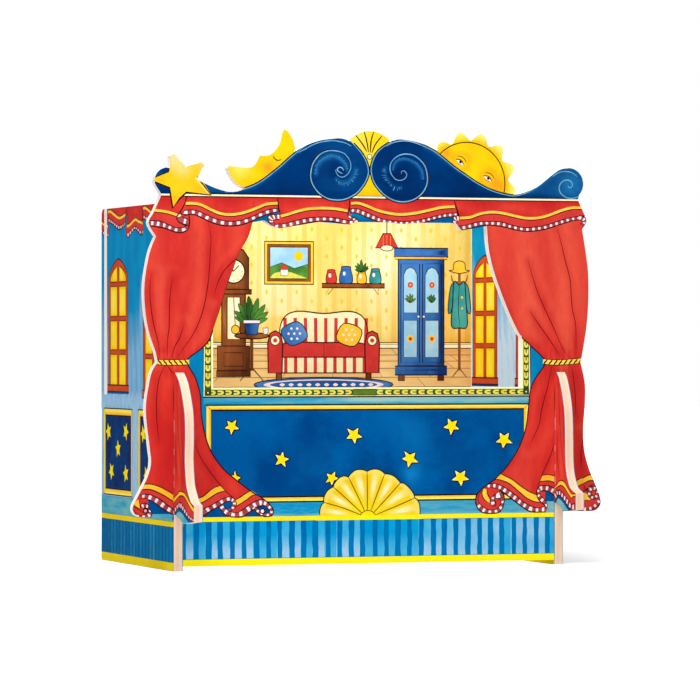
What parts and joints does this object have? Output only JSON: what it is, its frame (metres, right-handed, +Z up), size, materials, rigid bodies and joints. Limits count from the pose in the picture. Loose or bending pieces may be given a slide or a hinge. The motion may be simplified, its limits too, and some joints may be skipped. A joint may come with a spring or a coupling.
{
  "type": "finger puppet theatre",
  "caption": "Tabletop finger puppet theatre of slot-together printed plywood: contour-cut front with curtains and a stage opening, side wings and a lift-out backdrop.",
  "frame": {"origin": "middle of the footprint, on the surface that the wings stand on", "axes": "+X across the stage to the audience's right, +Y from the audience to the back, +Z up"},
  "size_m": [0.4229, 0.262, 0.3701],
  "materials": {
    "plywood": "satin clear varnish",
    "front_sheet": "satin printed paper, sealed",
    "wing_sheet": "satin printed paper, sealed",
    "backdrop_sheet": "satin printed paper, sealed"
  },
  "bodies": {
    "left_wing": {"left_wing_board": "plywood", "left_wing_outer_print": "wing_sheet", "left_wing_inner_print": "wing_sheet"},
    "front": {"front_board": "plywood", "front_print": "front_sheet"},
    "right_wing": {"right_wing_board": "plywood", "right_wing_outer_print": "wing_sheet", "right_wing_inner_print": "wing_sheet"},
    "backdrop": {"backdrop_board": "plywood", "backdrop_print": "backdrop_sheet"}
  },
  "joints": [
    {"name": "front_lift", "type": "slide", "parent": "left_wing", "child": "front", "axis": [0, 0, 1], "range_m": [0, 0.13]},
    {"name": "right_wing_stay", "type": "slide", "parent": "front", "child": "right_wing", "axis": [0, 0, 1], "range_m": [-0.13, 0]},
    {"name": "backdrop_lift", "type": "slide", "parent": "left_wing", "child": "backdrop", "axis": [0, 0, 1], "range_m": [0, 0.17]}
  ],
  "couplings": [
    {"joint": "right_wing_stay", "follows": "front_lift", "ratio": -1}
  ]
}
